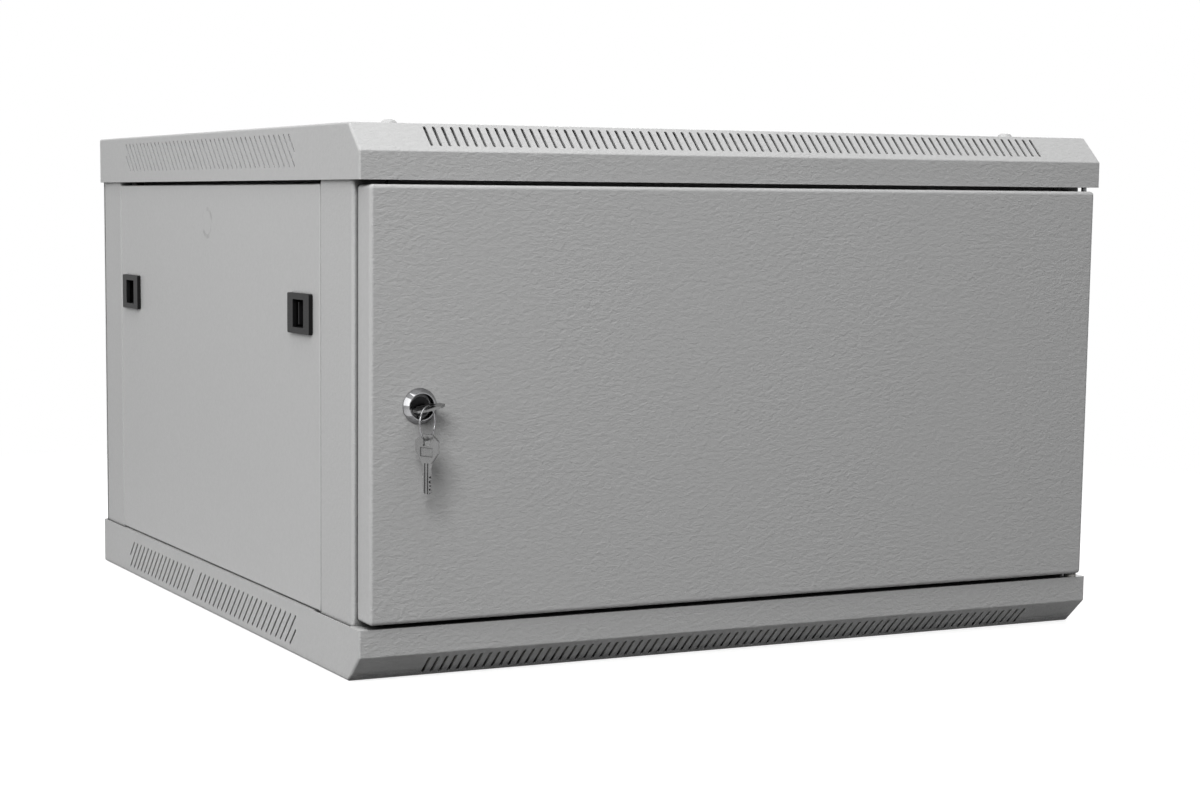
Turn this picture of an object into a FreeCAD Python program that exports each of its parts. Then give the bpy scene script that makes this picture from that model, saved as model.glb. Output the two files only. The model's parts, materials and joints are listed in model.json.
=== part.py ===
import FreeCAD, Part
import math
import os
from FreeCAD import Vector

# Wall mounted 19-inch network cabinet with a steel door, millimetres, +Z up.
# The origin is the centre of the underside; the door faces -Y and the wall is at +Y.

# ---- 19-inch equipment grid ----
rack_unit = 44.45
rack_units = 6
unit_hole_offsets = (6.35, 22.225, 38.1)  # square holes above the foot of each unit
rail_hole_spacing = 465.1
rail_opening = 450.0
square_hole = 9.5

# ---- Overall size, worked out from the grid ----
side_zone = 67.45      # from the square holes to the outside of the covers
end_zone = 51.65       # from the first and last unit to the outside
depth = 600.0
width = rail_hole_spacing + 2 * side_zone
height = rack_units * rack_unit + 2 * end_zone

# ---- Roof and base covers ----
cover_sheet = 1.2
cover_skirt = 37.2
cover_bend = 1.6
chamfer_rise = 18.5
chamfer_run = 19.7
front_lip = 17.5
side_lip = 13.5

# ---- Louvre slots of the covers ----
front_slot_count = 77
front_slot_pitch = 6.5
front_slot_width = 2.2
front_slot_length = 19.0
front_slot_rise = 14.6       # slot centre above the lower bend, along the chamfer
side_slot_count = 41
side_slot_pitch = 10.0
side_slot_width = 1.8
side_slot_depth = 17.0       # centre of the band below the top of the roof
side_slot_height = 21.4
side_band_rear = 80.0        # from the back of the cover to the band
side_band_front = 118.6
missing_side_slot = 17       # left out of the base, counted from the rear

# ---- Frame ----
frame_sheet = 1.5
frame_bend = 1.0
frame_reveal = 3.0           # the posts stand this far inside the covers
post_set_back = 19.5
post_face = 25.0
post_inner_wall = 40.0
front_post_side = 58.5
rear_post_side = 49.3
post_step = 11.0
post_flange = 8.0
front_bar_height = 48.0
rear_bar_height = 85.0
bar_return = 12.0
bar_rear_return = 18.0
post_end_gap = 1.0           # the posts stop short of the cover sheets

# ---- Rear panel ----
rear_sheet = 1.5
wall_slot_spacing_x = 460.0
wall_slot_spacing_z = 240.0
wall_slot_width = 9.0
wall_slot_length = 20.0
window_width = 300.0
window_height = 70.0
window_centre_z = 150.0
trim_wall = 1.2
trim_cover = 5.0
trim_corner = 3.0
rivet_shank_d = 4.0
rivet_head_d = 7.0
rivet_head = 1.1
rivet_tail = 2.0
rivet_tail_d = 5.4
rivet_edge = 0.9
rivet_inset = 12.5

# ---- Cover fasteners ----
bolt_d = 6.0
bolt_clearance = 0.3
shank_fit = 0.05             # radial gap of a shank in its hole
roof_bolt_head_d = 11.0
roof_bolt_head = 3.5
cover_bolt_x = 255.0
cover_bolt_inset = 38.5      # bolt line behind the front plane of the posts
nut_across_flats = 10.0
nut_height = 5.0
bolt_end = 1.0               # thread that stands past the nut

# ---- Cable entries and fan places ----
entry_width = 300.0
entry_length = 70.0
entry_from_back = 140.0
entry_lap = 15.0
entry_sheet = 1.2
entry_corner = 4.0
small_screw_d = 4.0
small_head_d = 8.0
small_head = 2.4
small_head_edge = 1.0
fan_spacing = 220.0
fan_hole_pitch = 105.0
fan_hole_d = 4.5
fan_centre_y = -20.0
fan_ring_radii = (16.0, 28.0, 40.0, 52.0)
fan_slot_width = 6.0
fan_ring_gap_deg = 14.0

# ---- Mounting rails and the depth rails that carry them ----
rail_sheet = 2.0
rail_flange_edge = 22.45     # from the square holes to the rail's outer corner
rail_side = 38.0
rail_end = 3.65
front_rail_set_back = 75.5
rear_rail_set_back = 92.3
depth_rail_web = 26.0
depth_rail_foot = 12.0
depth_rail_inset = 26.7      # centre of the depth rail from the end of the grid
depth_rail_end_gap = 1.5     # from the bars' returns
web_slot_length = 30.0
web_slot_pitch = 40.0
web_slot_count = 12
web_slot_width = 6.6
foot_screw_inset = 22.0
rail_bolt_inset = 22.0
rail_bolt_head = 4.0

# ---- Side panels ----
panel_sheet = 1.0
panel_bend = 1.4
panel_return = 10.0
panel_side_gap = 0.5
panel_top_gap = 2.5
tab_width = 30.0
tab_drop = 8.0
tab_thickness = 1.0
tab_inset = 5.0
tab_clearance = 1.5
tab_from_end = 90.0

# ---- Side panel latches ----
latch_length = 42.0
latch_height = 28.0
latch_proud = 3.0
latch_body_length = 37.0
latch_body_height = 22.0
latch_wall = 1.4
latch_corner = 1.5
latch_window_length = 20.7
latch_window_height = 19.4
latch_from_end = 34.5
latch_centre_z = 241.2
latch_fit = 0.3
slider_plate = 1.8
slider_length = 23.0
slider_travel = 10.0
slider_rib = 2.0
slider_rib_proud = 0.5
tongue_width = 13.0
tongue_reach = 4.0           # overlap behind the post flange when latched

# ---- Door ----
door_sheet = 1.2
door_depth = 20.5
door_proud = 3.0
door_side_reveal = 6.5
door_gap = 3.0
door_bend = 2.75
door_lip = 12.0
stiffener_sheet = 1.0
stiffener_web = 34.0
stiffener_foot = 12.0
stiffener_depth = 12.0
stiffener_spacing = 230.0
stiffener_end_gap = 2.0

# ---- Door hinge ----
pivot_inset = 4.0            # pivot line from the door's right edge
pivot_depth = 8.0            # pivot line behind the door's front face
hinge_pin_d = 4.0
hinge_fit = 0.05
pin_reach = 4.2
pin_below = 34.0
pin_shank_d = 3.0
pin_tip_round = 0.6
bracket_drop = 26.0
bracket_sheet = 1.5
bracket_width = 14.0
bracket_leg = 14.0
collar_d = 5.0
collar_height = 1.5
collar_drop = 9.5
spring_wire = 0.6
spring_turns = 7
spring_d = 4.6
lever_d = 2.4
lever_rise = 2.0
lever_reach = 9.0
washer_d = 9.0
bottom_pin_rise = 7.0
bottom_pin_head_d = 7.0
bottom_pin_head = 1.5

# ---- Lock ----
lock_x = -258.2
bezel_d = 24.0
bezel_front_d = 18.6
bezel_proud = 4.5
bezel_rim = 0.6
recess_d = 17.4
recess_depth = 3.2
lock_barrel_d = 18.0
lock_barrel_fit = 0.25
lock_barrel_length = 24.4
lock_nut_d = 25.0
lock_nut_height = 5.0
plug_d = 13.0
plug_fit = 0.05
cam_gap = 0.5
cam_thickness = 2.0
cam_width = 12.0
cam_length = 33.0
cam_square = 7.0
cam_screw_head_d = 9.0
cam_screw_head = 2.5
cam_screw_d = 4.0
cam_screw_grip = 7.0
cam_screw_end_gap = 0.3
cam_slot_margin = 3.0

# ---- Keys ----
key_turn = 12.0              # degrees that the key in the lock is turned from level
key_thickness = 1.6
key_blade_width = 6.2
key_blade_length = 20.3
key_neck_width = 7.8
key_neck_length = 2.8
key_bow_width = 20.0
key_bow_length = 18.9
key_bow_side = 8.0
key_end_width = 10.0
key_end_taper = 4.0
key_groove_width = 1.2
key_groove_depth = 0.3
key_groove_offset = 1.3
key_panel_width = 11.0
key_panel_length = 6.0
key_panel_depth = 0.25
key_hole_width = 6.0
key_hole_length = 4.8
key_hole_from_end = 2.8
key_fit = 0.2
key_stand_off = 3.0          # bow from the plug's face
key_notches = ((9.0, 0.7), (12.0, 1.1), (14.6, 0.5), (17.0, 0.9))  # place along the blade, depth
ring_radius = 11.0
ring_wire = 1.2
ring_clearance = 0.3
ring_turn = 50.0             # degrees that the ring stands from square to the door
ring_inset = 5.6             # ring's middle from the point where its leg goes through the hole
ring_leg_place = 1.5         # that point from the end of the hole
ring_drop = 8.2              # ring's middle below the bow
tail_length = 8.0
tail_slope = 47.0
tail_start = (-6.0, -7.6)    # place on the ring where its loose end leaves, along and up from the middle
spare_turn = -67.0           # degrees that the spare key is turned about the vertical

# ---- Planes shared by the pieces ----
half_width = width / 2
front = -depth / 2
back = depth / 2
top = height
skirt_top = height - cover_skirt
side_plane = half_width - frame_reveal
post_front = front + post_set_back
post_back = post_front + front_post_side
frame_back = back - cover_sheet - rear_sheet
rear_post_front = frame_back - rear_post_side
post_inner = side_plane - post_face
grid_low = end_zone
grid_high = height - end_zone
rail_corner = rail_hole_spacing / 2 + rail_flange_edge
door_front = front - door_proud
door_back = door_front + door_depth
door_half = half_width - door_side_reveal
door_low = cover_skirt + door_gap
door_high = skirt_top - door_gap
lock_z = height / 2
pivot_x = door_half - pivot_inset
pivot_y = door_front + pivot_depth
plug_face = door_front - bezel_proud + recess_depth
barrel_back = door_front + door_sheet + lock_barrel_length
bow_start = plug_face - key_stand_off
bow_end = bow_start - key_bow_length
sides = {"left": -1, "right": 1}
lap = 0.5                    # overlap of two bodies that are fused into one


# ---- Helpers ----
def box(x, y, z):
    """Box from three (low, high) spans."""
    return Part.makeBox(x[1] - x[0], y[1] - y[0], z[1] - z[0], Vector(x[0], y[0], z[0]))


def around(centre, length):
    """Span of a given length about a centre."""
    return (centre - length / 2, centre + length / 2)


def rod(start, axis, diameter, length):
    """Round bar from a start point along an axis."""
    return Part.makeCylinder(diameter / 2, length, Vector(*start), Vector(*axis))


def hex_prism(start, axis, across_flats, length):
    """Hexagonal bar from a start point along an axis."""
    corner = across_flats / math.sqrt(3)
    points = [Vector(corner * math.cos(a), corner * math.sin(a), 0)
              for a in (math.radians(60 * i) for i in range(7))]
    prism = Part.Face(Part.makePolygon(points)).extrude(Vector(0, 0, length))
    prism.Placement = FreeCAD.Placement(Vector(*start), FreeCAD.Rotation(Vector(0, 0, 1), Vector(*axis)))
    return prism


def hexagon_nut(start, axis):
    """Nut of the cover and rail bolts from its seat along an axis."""
    bore = rod(Vector(*start) - Vector(*axis), axis, bolt_d + 2 * shank_fit, nut_height + 2)
    return hex_prism(start, axis, nut_across_flats, nut_height).cut(bore)


def polygon(points):
    """Flat face of a closed outline drawn in the XY plane."""
    corners = [Vector(x, y, 0) for x, y in points]
    return Part.Face(Part.makePolygon(corners + corners[:1]))


def prism_x(face, span):
    """Face drawn with (Y, Z) as its two axes, extruded over a span of X."""
    solid = face.extrude(Vector(0, 0, span[1] - span[0]))
    solid.Placement = FreeCAD.Placement(Vector(span[0], 0, 0), FreeCAD.Rotation(Vector(1, 1, 1), 120))
    return solid


def prism_y(face, span):
    """Face drawn with (Z, X) as its two axes, extruded over a span of Y."""
    solid = face.extrude(Vector(0, 0, span[1] - span[0]))
    solid.Placement = FreeCAD.Placement(Vector(0, span[0], 0), FreeCAD.Rotation(Vector(1, 1, 1), -120))
    return solid


def prism_z(face, span):
    """Face drawn in the XY plane, extruded over a span of Z."""
    solid = face.extrude(Vector(0, 0, span[1] - span[0]))
    solid.translate(Vector(0, 0, span[0]))
    return solid


def bent_sheet(path, sheet, inner_bend):
    """Section of a folded sheet: its outer line follows path, its thickness lies to the right."""
    points = [Vector(x, y, 0) for x, y in path]
    runs = [(b - a).normalize() for a, b in zip(points, points[1:])]
    edges = {0: [], 1: []}
    last = [points[0], points[0] + right_of(runs[0]) * sheet]
    ends = [last[1], None]
    for corner, before, after in zip(points[1:-1], runs, runs[1:]):
        turn = before.x * after.y - before.y * after.x
        outer = inner_bend + (sheet if turn < 0 else 0)
        centre = corner + (after - before) * outer
        for side, radius in ((0, outer), (1, outer - sheet if turn < 0 else outer + sheet)):
            start = centre + (centre_to(before, turn) * radius)
            stop = centre + (centre_to(after, turn) * radius)
            middle = centre + (centre_to(before, turn) + centre_to(after, turn)).normalize() * radius
            edges[side] += [Part.LineSegment(last[side], start), Part.Arc(start, middle, stop)]
            last[side] = stop
    tips = [points[-1], points[-1] + right_of(runs[-1]) * sheet]
    for side in (0, 1):
        edges[side].append(Part.LineSegment(last[side], tips[side]))
    ends = [Part.LineSegment(points[0], ends[0]), Part.LineSegment(tips[0], tips[1])]
    shapes = [edge.toShape() for edge in edges[0] + ends + edges[1]]
    return Part.Face(Part.Wire(Part.__sortEdges__(shapes)))


def right_of(direction):
    """Unit vector to the right of a direction in the XY plane."""
    return Vector(direction.y, -direction.x, 0)


def centre_to(direction, turn):
    """Direction from a bend's centre to the sheet beside a run."""
    return right_of(direction) * (-1 if turn < 0 else 1)


def slot(start, end, width, normal, thickness):
    """Round-ended cutter between two end points, centred on them along the normal."""
    start, end, normal = Vector(*start), Vector(*end), Vector(*normal).normalize()
    along = (end - start).normalize()
    across = normal.cross(along) * (width / 2)
    low = normal * (-thickness / 2)
    a, b = start + low, end + low
    tip_a, tip_b = a - along * (width / 2), b + along * (width / 2)
    edges = [Part.LineSegment(a + across, b + across), Part.Arc(b + across, tip_b, b - across),
             Part.LineSegment(b - across, a - across), Part.Arc(a - across, tip_a, a + across)]
    face = Part.Face(Part.Wire([edge.toShape() for edge in edges]))
    return face.extrude(normal * thickness)


def mirrored(shape, side):
    """Copy of a left-hand piece, or its mirror image for the right-hand side."""
    if side < 0:
        return shape.copy()
    return shape.mirror(Vector(0, 0, 0), Vector(1, 0, 0))


def flipped(shape):
    """Mirror image of a roof piece in the cabinet's middle height."""
    return shape.mirror(Vector(0, 0, height / 2), Vector(0, 0, 1))


def rounded(shape, radius, keep):
    """Fillet of the edges whose middle point passes a test."""
    chosen = [edge for edge in shape.Edges if keep(edge.CenterOfMass)]
    return shape.makeFillet(radius, chosen)


# ---- Roof and base covers ----
def cover_blank():
    """Folded roof tray with its front chamfer and its lips, before any hole."""
    bend_z = top - chamfer_rise
    profile = [(back, skirt_top), (front, skirt_top), (front, bend_z),
               (front + chamfer_run, top), (back, top)]
    outer = prism_x(polygon(profile), (-half_width, half_width))
    outer = rounded(outer, cover_bend, lambda c: c.z > skirt_top + 1)
    slope = math.hypot(chamfer_rise, chamfer_run)
    t = cover_sheet
    inner_bend_z = bend_z - t * (slope - chamfer_rise) / chamfer_run
    inner_top_y = front + chamfer_run + t * (slope - chamfer_run) / chamfer_rise
    inner = [(back - t, skirt_top - 1), (front + t, skirt_top - 1), (front + t, inner_bend_z),
             (inner_top_y, top - t), (back - t, top - t)]
    tray = outer.cut(prism_x(polygon(inner), (-half_width + t, half_width - t)))
    lip_z = (skirt_top, skirt_top + t)
    inside = half_width - t
    lips = [box((-inside, inside), (front + t, front + t + front_lip), lip_z)]
    lip_y = (post_back + post_flange + 1, rear_post_front - post_flange - 1)
    for side in sides.values():
        lips.append(box(sorted((side * (inside - side_lip), side * inside)), lip_y, lip_z))
    return tray.fuse(lips).removeSplitter()


def front_slots():
    """Row of slots across the front chamfer."""
    slope = math.hypot(chamfer_rise, chamfer_run)
    along = Vector(0, chamfer_run / slope, chamfer_rise / slope)
    normal = Vector(0, -chamfer_rise / slope, chamfer_run / slope)
    bend = Vector(0, front, top - chamfer_rise) - normal * (cover_sheet / 2)
    reach = along * ((front_slot_length - front_slot_width) / 2)
    cutters = []
    for i in range(front_slot_count):
        centre = bend + along * front_slot_rise
        centre.x = (i - (front_slot_count - 1) / 2) * front_slot_pitch
        cutters.append(slot(centre - reach, centre + reach, front_slot_width, normal, 4 * cover_sheet))
    return cutters


def side_slots(side, skipped=None):
    """Slanted slots of one side skirt, cut short where the band ends."""
    low = top - side_slot_depth - side_slot_height / 2
    rear_limit = back - side_band_rear
    front_limit = front + side_band_front
    cutters = []
    for i in range(side_slot_count):
        if i == skipped:
            continue
        high_y = rear_limit + (1 - i) * side_slot_pitch
        start = max(high_y - side_slot_height, front_limit)
        end = min(high_y, rear_limit)
        slant = low - (high_y - side_slot_height)
        x = side * (half_width - cover_sheet / 2)
        cutters.append(slot((x, start, start + slant), (x, end, end + slant), side_slot_width, (1, 0, 0),
                            3 * cover_sheet))
    return cutters


def all_slots(skipped=None):
    """Every louvre slot of one cover."""
    return front_slots() + side_slots(-1, skipped) + side_slots(1, skipped)


def bolt_positions():
    """Plan positions of the four bolts that hold a cover to the frame."""
    front_y = post_front + cover_bolt_inset
    rear_y = (rear_post_front + frame_back) / 2
    return [(x, y) for x in (-cover_bolt_x, cover_bolt_x) for y in (front_y, rear_y)]


def bolt_holes(z, diameter):
    """Upright cutters at the cover bolts over a span of Z."""
    return [rod((x, y, z[0]), (0, 0, 1), diameter, z[1] - z[0]) for x, y in bolt_positions()]


def entry_cutter():
    """Cable entry through the roof sheet."""
    y = around(back - entry_from_back, entry_length)
    return box(around(0, entry_width), y, (top - 2 * cover_sheet, top + 1))


def entry_screw_positions():
    """Corners where a cable entry plate is screwed to the cover."""
    x = entry_width / 2 + entry_lap / 2
    middle = back - entry_from_back
    reach = entry_length / 2 + entry_lap / 2
    return [(sx * x, middle + sy * reach) for sx in (-1, 1) for sy in (-1, 1)]


def fan_centres():
    """Centres of the two fan places in the roof."""
    return [(side * fan_spacing / 2, fan_centre_y) for side in sides.values()]


def arc_slot(cx, cy, radius, start_deg, end_deg):
    """Curved slot cutter through the roof, about a fan centre."""
    inner, outer = radius - fan_slot_width / 2, radius + fan_slot_width / 2
    angles = [math.radians(a) for a in (start_deg, (start_deg + end_deg) / 2, end_deg)]
    rim = {}
    for r in (inner, outer):
        rim[r] = [Vector(cx + r * math.cos(a), cy + r * math.sin(a), 0) for a in angles]
    edges = [Part.Arc(*rim[outer]), Part.LineSegment(rim[outer][2], rim[inner][2]),
             Part.Arc(*rim[inner][::-1]), Part.LineSegment(rim[inner][0], rim[outer][0])]
    face = Part.Face(Part.Wire([edge.toShape() for edge in edges]))
    return prism_z(face, (top - 2 * cover_sheet, top + 1))


def fan_cutters():
    """Vent rings and screw holes of the fan places."""
    cutters = []
    for cx, cy in fan_centres():
        for radius in fan_ring_radii:
            gap = fan_ring_gap_deg * fan_ring_radii[-1] / radius
            for quarter in range(4):
                start = 90 * quarter + gap / 2
                cutters.append(arc_slot(cx, cy, radius, start, start + 90 - gap))
        for sx in (-1, 1):
            for sy in (-1, 1):
                hole = (cx + sx * fan_hole_pitch / 2, cy + sy * fan_hole_pitch / 2, top - 2 * cover_sheet)
                cutters.append(rod(hole, (0, 0, 1), fan_hole_d, 3 * cover_sheet))
    return cutters


def hinge_hole(z, pin_d=hinge_pin_d):
    """Cutter for a hinge pin over a span of Z."""
    return rod((pivot_x, pivot_y, z[0]), (0, 0, 1), pin_d + 2 * hinge_fit, z[1] - z[0])


def screw_cutters():
    """Holes for the screws of the cable entry plate."""
    z = top - 2 * cover_sheet
    hole_d = small_screw_d + 2 * shank_fit
    return [rod((x, y, z), (0, 0, 1), hole_d, 3 * cover_sheet) for x, y in entry_screw_positions()]


def roof_cover():
    """Roof tray with louvres, fan places, cable entry and bolt holes."""
    lip = (skirt_top - 1, skirt_top + 2 * cover_sheet)
    cutters = all_slots() + fan_cutters() + [entry_cutter(), hinge_hole(lip)] + screw_cutters()
    cutters += bolt_holes((top - 2 * cover_sheet, top + 1), bolt_d + bolt_clearance)
    return cover_blank().cut(cutters)


def tab_centres():
    """Middles of a side panel's two tabs, along Y."""
    return [post_back + tab_from_end, rear_post_front - tab_from_end]


def tab_plane():
    """Outer face of the side panel's tabs, from the middle of the cabinet."""
    return side_plane - tab_inset


def base_cover():
    """Base tray: the roof's mirror image with slots for the panel tabs and a bare underside."""
    lip = (skirt_top - 1, skirt_top + 2 * cover_sheet)
    cutters = all_slots(missing_side_slot) + [entry_cutter(), hinge_hole(lip)] + screw_cutters()
    for side in sides.values():
        inner = tab_plane() - tab_thickness - 2 * tab_clearance
        x = sorted((side * (tab_plane() + tab_clearance), side * inner))
        cutters += [box(x, around(y, tab_width + 2 * tab_clearance), lip) for y in tab_centres()]
    return flipped(cover_blank().cut(cutters))


def entry_plate():
    """Plate that closes the roof's cable entry from inside."""
    y = around(back - entry_from_back, entry_length + 2 * entry_lap)
    z = (top - cover_sheet - entry_sheet, top - cover_sheet)
    plate = box(around(0, entry_width + 2 * entry_lap), y, z)
    plate = rounded(plate, entry_corner, lambda c: abs(c.z - sum(z) / 2) < 0.01)
    return plate.cut(screw_cutters())


def entry_screws():
    """Screws of the roof's entry plate, heads inside, tips flush with the sheet."""
    seat = top - cover_sheet - entry_sheet
    screws = []
    for x, y in entry_screw_positions():
        head = rod((x, y, seat), (0, 0, -1), small_head_d, small_head)
        head = rounded(head, small_head_edge, lambda c: c.z < seat - small_head + 0.01)
        shank = rod((x, y, seat - lap), (0, 0, 1), small_screw_d, top - seat + lap)
        screws.append(head.fuse(shank).removeSplitter())
    return Part.makeCompound(screws)


# ---- Frame ----
def post_section(face, side_length, facing):
    """Folded post in plan for the left side; facing is -1 for a front post and +1 for a rear one."""
    inward = -facing
    inner_end = face + inward * post_inner_wall
    side_end = face + inward * side_length
    flange_x = -side_plane + post_step
    path = [(-post_inner, inner_end), (-post_inner, face), (-side_plane, face), (-side_plane, side_end),
            (flange_x, side_end), (flange_x, side_end + inward * post_flange)]
    if facing < 0:
        return bent_sheet(path, frame_sheet, frame_bend)
    mirrored_path = [(x, -y) for x, y in path]
    return bent_sheet(mirrored_path, frame_sheet, frame_bend).mirror(Vector(0, 0, 0), Vector(0, 1, 0))


def foot_screw_positions(end_y, inward):
    """Y and Z of the screws that hold the depth rails to one post."""
    y = end_y + inward * foot_screw_inset
    offset = (depth_rail_web + depth_rail_foot) / 2
    return [(y, z + s * offset) for z in depth_rail_heights().values() for s in (-1, 1)]


def depth_rail_heights():
    """Middle heights of the lower and upper depth rails."""
    return {"lower": grid_low + depth_rail_inset, "upper": grid_high - depth_rail_inset}


def foot_holes(end_y, inward):
    """Cutters through a left post's inner wall for the depth rail screws."""
    hole_d = small_screw_d + 2 * shank_fit
    start = -post_inner - 2 * frame_sheet
    places = foot_screw_positions(end_y, inward)
    return [rod((start, y, z), (1, 0, 0), hole_d, 5 * frame_sheet) for y, z in places]


def post_height():
    """Span of Z of a post, just short of the two cover sheets."""
    return (cover_sheet + post_end_gap, top - cover_sheet - post_end_gap)


def front_post(side):
    """Front corner post, with the slot that lets the lock's cam reach behind its face."""
    post = prism_z(post_section(post_front, front_post_side, -1), post_height())
    cutters = foot_holes(post_front, 1)
    cam_y = barrel_back + cam_gap
    slot_z = (lock_z - cam_length - cam_slot_margin, lock_z + cam_width / 2 + cam_slot_margin)
    slot_y = (post_front + frame_sheet, cam_y + cam_thickness + cam_screw_head + cam_slot_margin)
    slot_x = (-post_inner - frame_sheet - 2 * frame_bend, -post_inner + frame_sheet)
    cutters.append(box(slot_x, slot_y, slot_z))
    return mirrored(post.cut(cutters), side)


def rear_post(side):
    """Rear corner post, behind the side panel."""
    post = prism_z(post_section(frame_back, rear_post_side, 1), post_height())
    holes = foot_holes(frame_back, -1)
    return mirrored(post.cut(holes + rivet_holes()), side)


def bar_section(face, bar_height, facing):
    """Folded cross bar in (Y, Z) at the roof; facing is -1 for the front bar and +1 for the rear one."""
    inward = -facing
    far = post_back if facing < 0 else rear_post_front
    high = top - cover_sheet
    low = top - bar_height
    path = [(face + inward * bar_return, low), (face, low), (face, high), (far, high),
            (far, high - bar_rear_return)]
    if facing < 0:
        return bent_sheet(path, frame_sheet, frame_bend)
    mirrored_path = [(-y, z) for y, z in path]
    return bent_sheet(mirrored_path, frame_sheet, frame_bend).mirror(Vector(0, 0, 0), Vector(1, 0, 0))


def front_bar():
    """Upper front cross bar between the posts."""
    bar = prism_x(bar_section(post_front, front_bar_height, -1), (-post_inner, post_inner))
    return bar.cut(bolt_holes((top - 10, top), bolt_d + bolt_clearance))


def rear_bar():
    """Upper rear cross bar, tall enough to take the wall fixings."""
    bar = prism_x(bar_section(frame_back, rear_bar_height, 1), (-post_inner, post_inner))
    cutters = bolt_holes((top - 10, top), bolt_d + bolt_clearance) + wall_slots() + rivet_holes()
    return bar.cut(cutters)


def cover_bolts():
    """Dome-headed bolts on the roof."""
    bolts = []
    for x, y in bolt_positions():
        head = rod((x, y, top), (0, 0, 1), roof_bolt_head_d, roof_bolt_head)
        head = rounded(head, roof_bolt_head - 0.4, lambda c: c.z > top + roof_bolt_head - 0.01)
        shank_low = top - cover_sheet - frame_sheet - nut_height - bolt_end
        shank = rod((x, y, shank_low), (0, 0, 1), bolt_d, top + lap - shank_low)
        bolts.append(head.fuse(shank).removeSplitter())
    return Part.makeCompound(bolts)


def cover_nuts():
    """Hexagon nuts under the upper cross bars."""
    z = top - cover_sheet - frame_sheet - nut_height
    return Part.makeCompound([hexagon_nut((x, y, z), (0, 0, 1)) for x, y in bolt_positions()])


def base_studs():
    """Studs welded to the inside of the base sheet."""
    length = frame_sheet + nut_height + 2 * bolt_end
    studs = [rod((x, y, cover_sheet), (0, 0, 1), bolt_d, length) for x, y in bolt_positions()]
    return Part.makeCompound(studs)


# ---- Rear panel ----
def wall_slots():
    """Cutters of the four wall fixing slots."""
    reach = (wall_slot_length - wall_slot_width) / 2
    cutters = []
    for sx in (-1, 1):
        for sz in (-1, 1):
            x = sx * wall_slot_spacing_x / 2
            z = height / 2 + sz * wall_slot_spacing_z / 2
            ends = [(x + step * reach, frame_back, z) for step in (-1, 1)]
            cutters.append(slot(*ends, wall_slot_width, (0, 1, 0), 5 * frame_sheet))
    return cutters


def post_rivets():
    """X and Z of the rivets along the rear posts."""
    x = side_plane - rivet_inset
    middle = height / 2
    reach = middle - rear_bar_height - 10
    return [(side * x, middle + step * reach) for side in sides.values() for step in (-1, 0, 1)]


def bar_rivets():
    """X and Z of the rivets along the rear cross bars."""
    x = post_inner / 2.2
    z = rear_bar_height - rivet_inset
    return [(step * x, level) for step in (-1, 0, 1) for level in (z, height - z)]


def rivet_holes():
    """Cutters for every rivet of the rear panel."""
    hole_d = rivet_shank_d + 2 * shank_fit
    return [rod((x, frame_back - 3, z), (0, 1, 0), hole_d, 8) for x, z in post_rivets() + bar_rivets()]


def rear_panel():
    """Back sheet with wall slots and a cable window."""
    span = (cover_sheet, top - cover_sheet)
    sheet = box((-side_plane, side_plane), (frame_back, frame_back + rear_sheet), span)
    window = box(around(0, window_width), (frame_back - 1, back), around(window_centre_z, window_height))
    return sheet.cut(wall_slots() + rivet_holes() + [window])


def rivets():
    """Blind rivets of the rear panel, heads outside."""
    seat = frame_back + rear_sheet
    inner = frame_back - frame_sheet
    solids = []
    for x, z in post_rivets() + bar_rivets():
        head = rod((x, seat, z), (0, 1, 0), rivet_head_d, rivet_head)
        head = rounded(head, rivet_edge, lambda c: c.y > seat + rivet_head - 0.01)
        shank = rod((x, inner, z), (0, 1, 0), rivet_shank_d, seat - inner + lap)
        tail = rod((x, inner, z), (0, -1, 0), rivet_tail_d, rivet_tail)
        solids.append(head.fuse([shank, tail]).removeSplitter())
    return Part.makeCompound(solids)


def window_trim():
    """Rubber edging pushed over the rim of the cable window."""
    y = (frame_back - trim_wall, frame_back + rear_sheet + trim_wall)
    outer = box(around(0, window_width + 2 * trim_cover), y,
                around(window_centre_z, window_height + 2 * trim_cover))
    outer = rounded(outer, trim_corner, lambda c: abs(c.y - sum(y) / 2) < 0.01)
    opening = box(around(0, window_width - 2 * trim_wall), (y[0] - 1, y[1] + 1),
                  around(window_centre_z, window_height - 2 * trim_wall))
    return outer.cut([opening, rear_panel()])


# ---- Mounting rails ----
def rail_hole_cutters(y):
    """Square holes of a left rail along the whole grid."""
    x = around(-rail_hole_spacing / 2, square_hole)
    cutters = []
    for unit in range(rack_units):
        for offset in unit_hole_offsets:
            z = around(grid_low + unit * rack_unit + offset, square_hole)
            cutters.append(box(x, (y - 3 * rail_sheet, y + 3 * rail_sheet), z))
    return cutters


def rail_bolt_y(face, facing):
    """Y of the bolts that hold a mounting rail to the depth rails."""
    return face - facing * rail_bolt_inset


def mounting_rail(side, face, facing):
    """19-inch rail whose holed flange faces the front (-1) or the rear (+1)."""
    opening_edge = rail_opening / 2
    path = [(-opening_edge, face), (-rail_corner, face), (-rail_corner, face - facing * rail_side)]
    if facing > 0:
        path.reverse()
    section = bent_sheet(path, rail_sheet, frame_bend)
    rail = prism_z(section, (grid_low - rail_end, grid_high + rail_end))
    y = rail_bolt_y(face, facing)
    holes = [rod((-rail_corner - 1, y, z), (1, 0, 0), bolt_d + bolt_clearance, 5)
             for z in depth_rail_heights().values()]
    return mirrored(rail.cut(rail_hole_cutters(face) + holes), side)


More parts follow.
